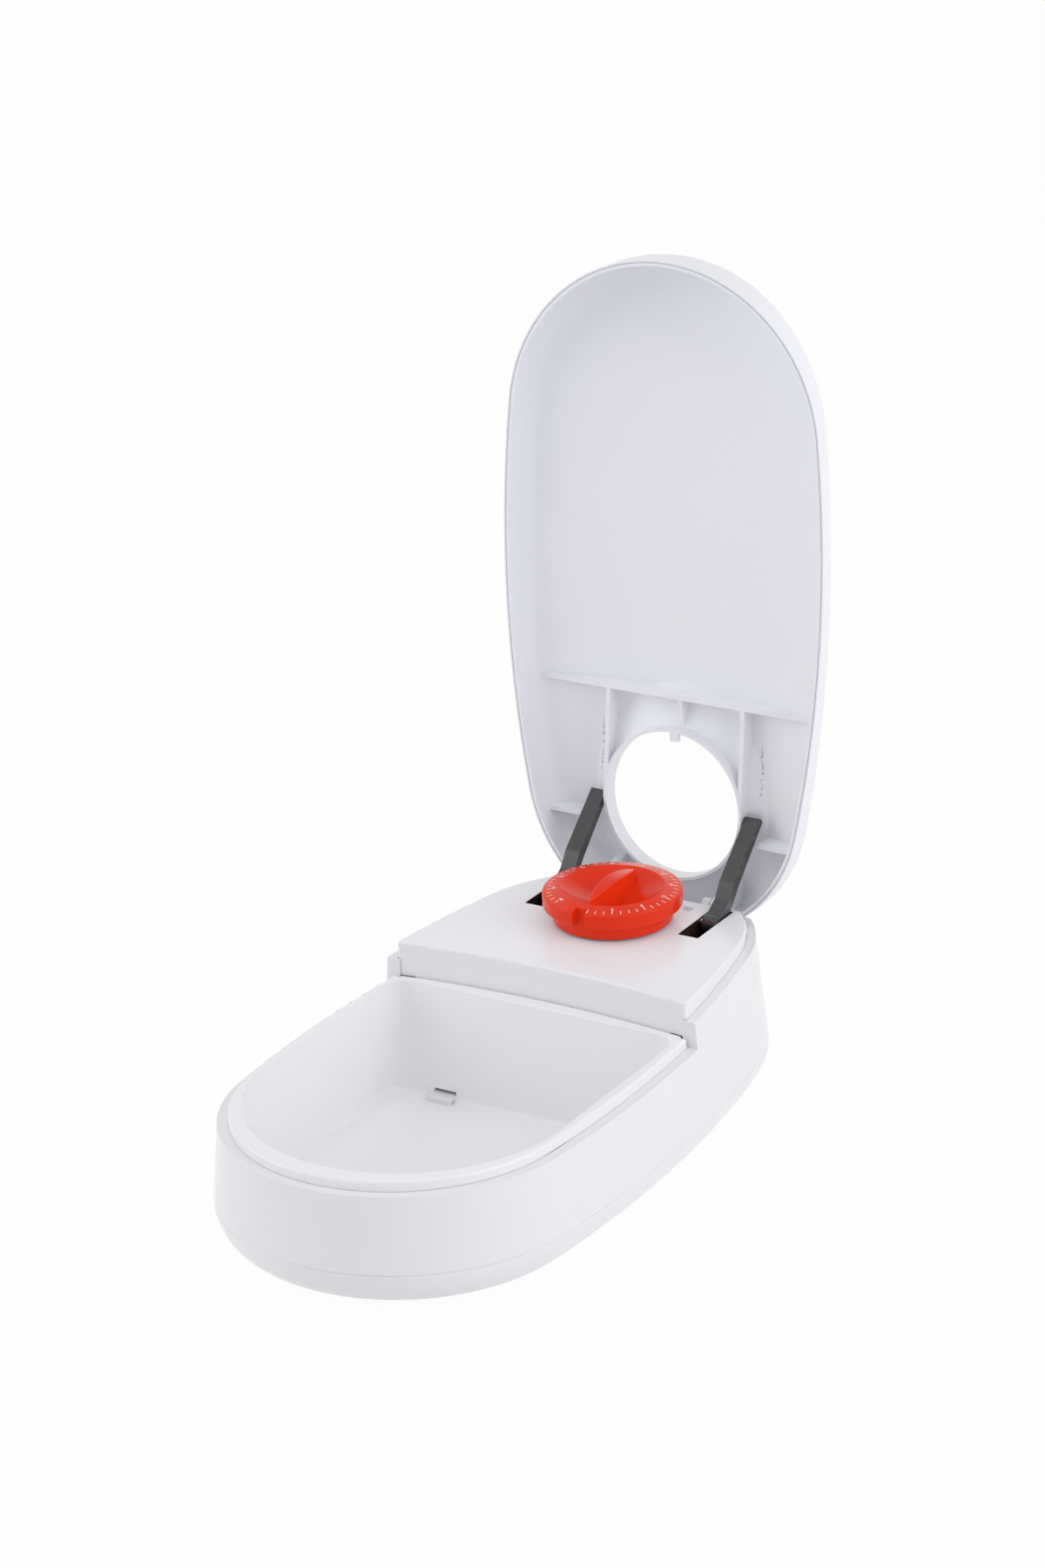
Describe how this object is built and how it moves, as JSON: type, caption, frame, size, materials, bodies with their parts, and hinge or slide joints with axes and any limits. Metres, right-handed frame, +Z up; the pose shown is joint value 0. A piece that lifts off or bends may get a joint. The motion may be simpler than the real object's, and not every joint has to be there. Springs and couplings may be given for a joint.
{
  "type": "timed pet feeder",
  "caption": "Egg-shaped bowl feeder with a lift-out bowl, a rotary timer dial on a raised deck and a sprung domed lid standing open on cranked arms.",
  "frame": {"origin": "on the floor under the feet, on the centre plane, near the middle of the body's length", "axes": "+Z up, +Y from the bowl's rounded front to the lid hinge, +X to the right looking along +Y; the body mirrors across X = 0"},
  "size_m": [0.1616, 0.3218, 0.3425],
  "materials": {
    "shell_plastic": "smooth white moulding, soft gloss",
    "deck_plastic": "glossy white moulding",
    "bowl_plastic": "smooth white moulding, soft gloss",
    "lid_plastic": "smooth white moulding with faint scuffs inside",
    "feet_rubber": "matt grey rubber",
    "screw_steel": "zinc plated",
    "pin_steel": "ground steel",
    "spindle_steel": "ground steel",
    "spring_steel": "spring wire",
    "contact_metal": "nickel plated",
    "bush_brass": "turned brass",
    "catch_clear": "clear moulded plastic",
    "dial_orange": "orange-red moulding, soft gloss",
    "gear_plastic": "natural acetal",
    "case_plastic": "black moulding",
    "board": "green circuit board",
    "coil_copper": "enamelled copper winding",
    "cell_jacket": "plain printed jacket, no lettering",
    "arm_black": "black moulding with fine texture"
  },
  "bodies": {
    "base": {"outer_shell": "shell_plastic", "bottom_tray": "shell_plastic", "deck_housing": "deck_plastic", "rubber_feet": "feet_rubber", "housing_screws": "screw_steel", "arm_pivot_pins": "pin_steel", "dial_bush": "bush_brass", "timer_case": "case_plastic", "timer_cover": "case_plastic", "timer_board": "board", "drive_coil": "coil_copper", "timer_screws": "screw_steel", "aa_battery": "cell_jacket", "contact_plate": "contact_metal", "contact_spring": "contact_metal", "hinge_pins": "pin_steel", "arm_spring_left": "spring_steel", "arm_spring_right": "spring_steel"},
    "lid": {"lid": "lid_plastic"},
    "arm_left": {"opening_arm_left": "arm_black"},
    "arm_right": {"opening_arm_right": "arm_black"},
    "bowl": {"food_bowl": "bowl_plastic", "bowl_catch": "catch_clear"},
    "dial": {"dial": "dial_orange", "dial_spindle": "spindle_steel", "dial_wheel": "gear_plastic", "dial_clip": "pin_steel"},
    "pinion": {"movement_pinion": "gear_plastic"},
    "door": {"battery_door": "shell_plastic"}
  },
  "joints": [
    {"name": "lid_hinge", "type": "hinge", "parent": "base", "child": "lid", "pos_m": [0, 0.14107, 0.06432], "axis": [1, 0, 0], "range_deg": [0, 95.37], "stiffness_Nm_per_rad": 0.12, "springref_deg": -28.65},
    {"name": "arm_left_pivot", "type": "hinge", "parent": "base", "child": "arm_left", "pos_m": [0, 0.1204, 0.067], "axis": [1, 0, 0], "range_deg": [0, 125]},
    {"name": "arm_right_pivot", "type": "hinge", "parent": "base", "child": "arm_right", "pos_m": [0, 0.1204, 0.067], "axis": [1, 0, 0], "range_deg": [0, 125]},
    {"name": "dial_turn", "type": "hinge", "parent": "base", "child": "dial", "pos_m": [0, 0.1023, 0.0704], "axis": [0, 0, 1], "continuous": true},
    {"name": "pinion_spin", "type": "hinge", "parent": "base", "child": "pinion", "pos_m": [0, 0.0842, 0.0545], "axis": [0, 0, 1], "continuous": true},
    {"name": "bowl_lift", "type": "slide", "parent": "base", "child": "bowl", "axis": [0, 0, 1], "range_m": [0, 0.11]},
    {"name": "door_slide", "type": "slide", "parent": "base", "child": "door", "axis": [0, 1, 0], "range_m": [0, 0.008]}
  ],
  "couplings": [
    {"joint": "arm_left_pivot", "follows": "lid_hinge", "ratio": 1.305},
    {"joint": "arm_right_pivot", "follows": "lid_hinge", "ratio": 1.305},
    {"joint": "pinion_spin", "follows": "dial_turn", "ratio": -4}
  ]
}
